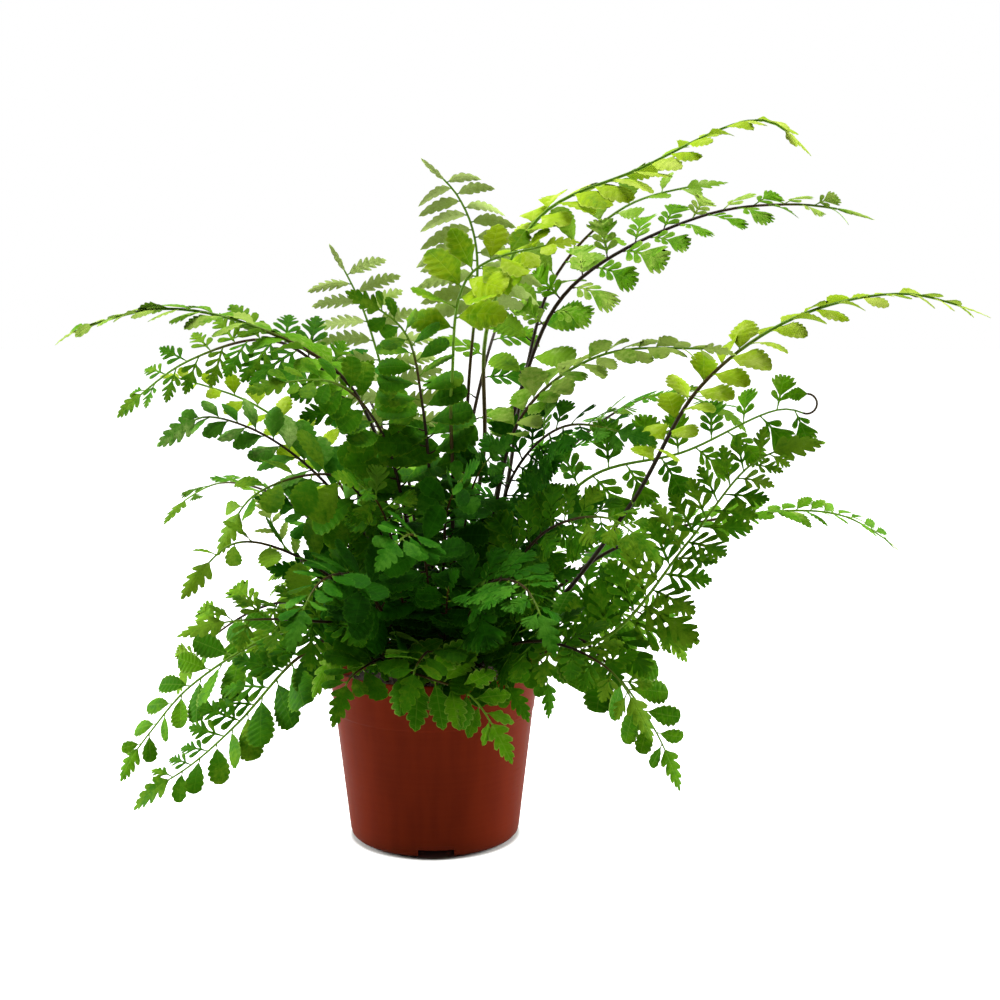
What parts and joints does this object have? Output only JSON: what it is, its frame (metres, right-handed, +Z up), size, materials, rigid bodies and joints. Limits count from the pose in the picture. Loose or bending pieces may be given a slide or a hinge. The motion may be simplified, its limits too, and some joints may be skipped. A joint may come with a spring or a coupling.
{
  "type": "potted fern",
  "caption": "Fern with fan-shaped, oval and finely cut leaflets on slim arching stalks, rooted in a round tapered plastic nursery pot.",
  "frame": {"origin": "middle of the pot's flat underside, on the surface that the pot stands on", "axes": "+Z up, the plant's front towards -Y, its longest fronds along X"},
  "size_m": [0.499, 0.3494, 0.4007],
  "materials": {
    "pot_plastic": "satin",
    "peat": "matt, crumbly",
    "rootstock": "matt, scaly",
    "leaf_lime": "soft sheen",
    "leaf_fresh": "soft sheen",
    "leaf_mid": "soft sheen",
    "leaf_dark": "soft sheen"
  },
  "bodies": {
    "root": {"pot": "pot_plastic", "soil": "peat", "crown": "rootstock", "frond_crest": "leaf_lime", "frond_upper_right": "leaf_fresh", "frond_behind_crest": "leaf_mid", "frond_long_right": "leaf_lime", "frond_pale_right": "leaf_fresh", "frond_curled_right": "leaf_mid", "frond_dissected_right": "leaf_dark", "frond_fine_right": "leaf_fresh", "frond_drooping_right": "leaf_fresh", "frond_over_front_rim": "leaf_fresh", "frond_over_right_rim": "leaf_mid", "frond_over_left_rim": "leaf_fresh", "frond_lower_left": "leaf_mid", "frond_oval_left": "leaf_fresh", "frond_forked_left": "leaf_mid", "frond_slender_left": "leaf_fresh", "frond_broad_left": "leaf_mid", "frond_dark_left": "leaf_dark", "frond_lime_left": "leaf_lime", "frond_long_left": "leaf_mid", "frond_dissected_left": "leaf_dark", "frond_feathery_left": "leaf_mid", "frond_top_comb": "leaf_fresh", "frond_pale_centre": "leaf_lime", "frond_front_middle": "leaf_dark", "frond_front_right": "leaf_dark", "frond_front_left": "leaf_dark", "frond_side_right": "leaf_mid", "frond_side_left": "leaf_mid", "frond_low_front_right": "leaf_mid", "frond_low_front_left": "leaf_mid", "frond_broad_centre": "leaf_mid", "frond_centre_right": "leaf_dark", "frond_centre_up": "leaf_mid", "frond_back_tall": "leaf_mid", "frond_back_left": "leaf_dark", "frond_back_right": "leaf_mid", "frond_back_wide_left": "leaf_mid", "frond_back_middle": "leaf_fresh", "frond_back_low_right": "leaf_mid", "frond_back_low_left": "leaf_mid", "frond_back_over_rim": "leaf_fresh", "frond_low_right": "leaf_mid", "frond_low_left": "leaf_mid", "frond_inner_left": "leaf_dark", "frond_inner_right": "leaf_dark", "frond_inner_middle": "leaf_dark", "frond_inner_front_left": "leaf_mid", "frond_low_front_middle": "leaf_mid", "frond_over_middle_rim": "leaf_mid", "frond_short_middle": "leaf_dark", "frond_short_front_left": "leaf_dark", "frond_short_left": "leaf_dark", "frond_short_front_right": "leaf_dark", "frond_short_right": "leaf_dark", "frond_short_side_left": "leaf_dark", "frond_inner_upright": "leaf_dark"}
  },
  "joints": []
}
